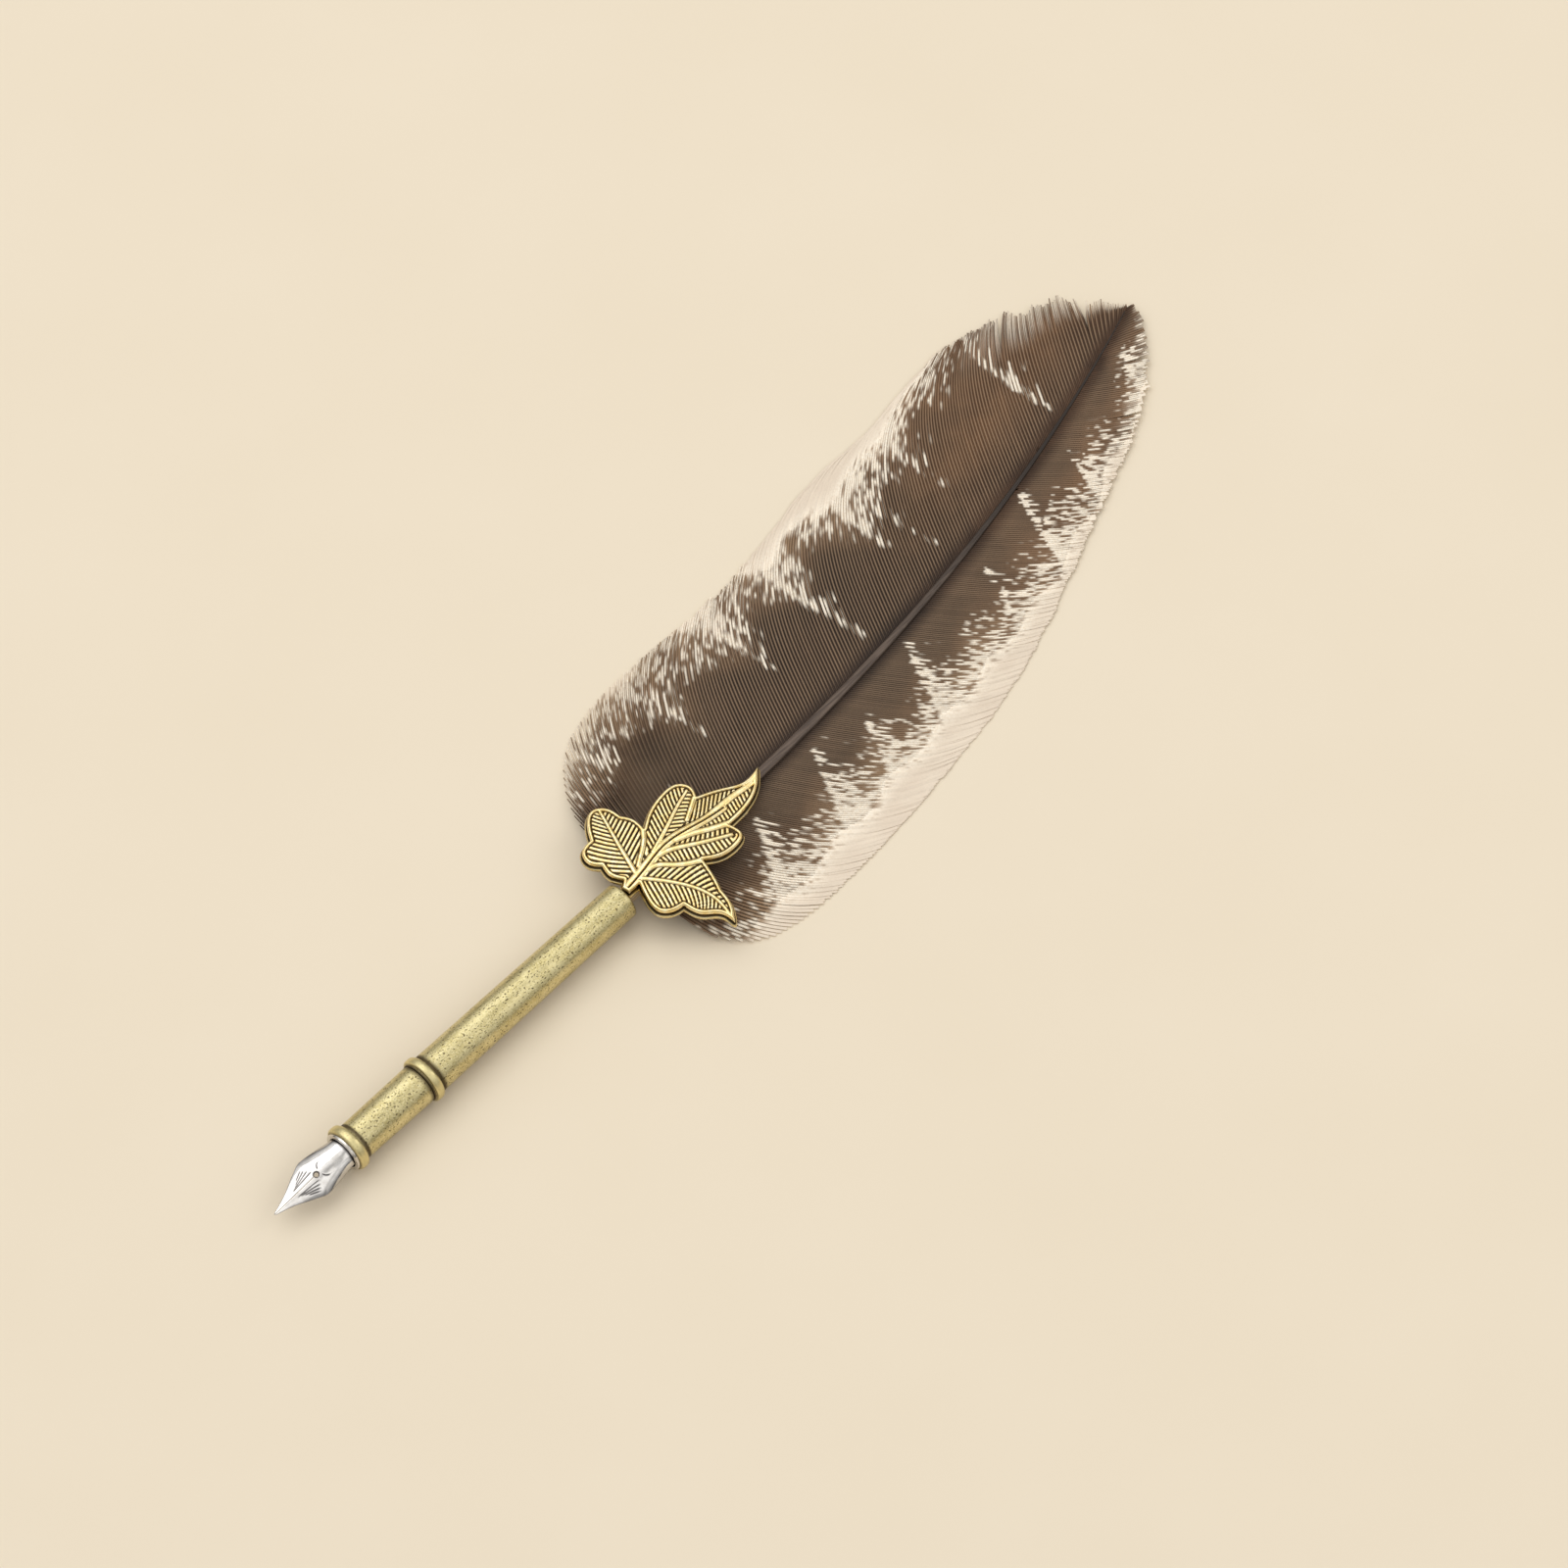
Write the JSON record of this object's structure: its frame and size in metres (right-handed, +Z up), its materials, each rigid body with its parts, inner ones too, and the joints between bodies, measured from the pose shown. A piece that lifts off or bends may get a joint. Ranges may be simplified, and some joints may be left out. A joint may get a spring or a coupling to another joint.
{
  "type": "feather dip pen",
  "caption": "Feather dip pen with a pressed steel nib, a turned brass barrel that unscrews at its collar, a cast leaf ornament and a barred feather.",
  "frame": {"origin": "middle of the underside of the bounding box, on the table that the pen lies on", "axes": "+X along the barrel from the nib's point towards the feather's tip, +Y towards the broad vane, +Z up from the table"},
  "size_m": [0.2522, 0.0676, 0.0092],
  "materials": {
    "nib_steel": "polished",
    "plated_ferrule": "polished",
    "spring_clip": "satin",
    "antique_brass": "satin",
    "polished_gold": "polished",
    "set_adhesive": "gloss",
    "feather_shaft": "satin",
    "feather_vane": "matte"
  },
  "bodies": {
    "barrel": {"barrel_tube": "antique_brass", "quill_plug": "set_adhesive", "feather_shaft": "feather_shaft", "broad_vane": "feather_vane", "narrow_vane": "feather_vane", "leaf_charm": "polished_gold", "leaf_pad": "set_adhesive"},
    "ring": {"joint_ring": "antique_brass"},
    "grip": {"grip_section": "antique_brass", "nib_ferrule": "plated_ferrule", "nib_clip": "spring_clip"},
    "nib": {"nib": "nib_steel"}
  },
  "joints": [
    {"name": "ring_advance", "type": "slide", "parent": "barrel", "child": "ring", "axis": [-1, 0, 0], "range_m": [0, 0.0075]},
    {"name": "grip_turn", "type": "hinge", "parent": "ring", "child": "grip", "pos_m": [-0.0901, -0.00868, 0.0046], "axis": [-1, 0, 0], "range_deg": [0, 3600]},
    {"name": "nib_pull", "type": "slide", "parent": "grip", "child": "nib", "axis": [-1, 0, 0], "range_m": [0, 0.012]}
  ],
  "couplings": [
    {"joint": "grip_turn", "follows": "ring_advance", "rad_per_m": 8377.6}
  ]
}
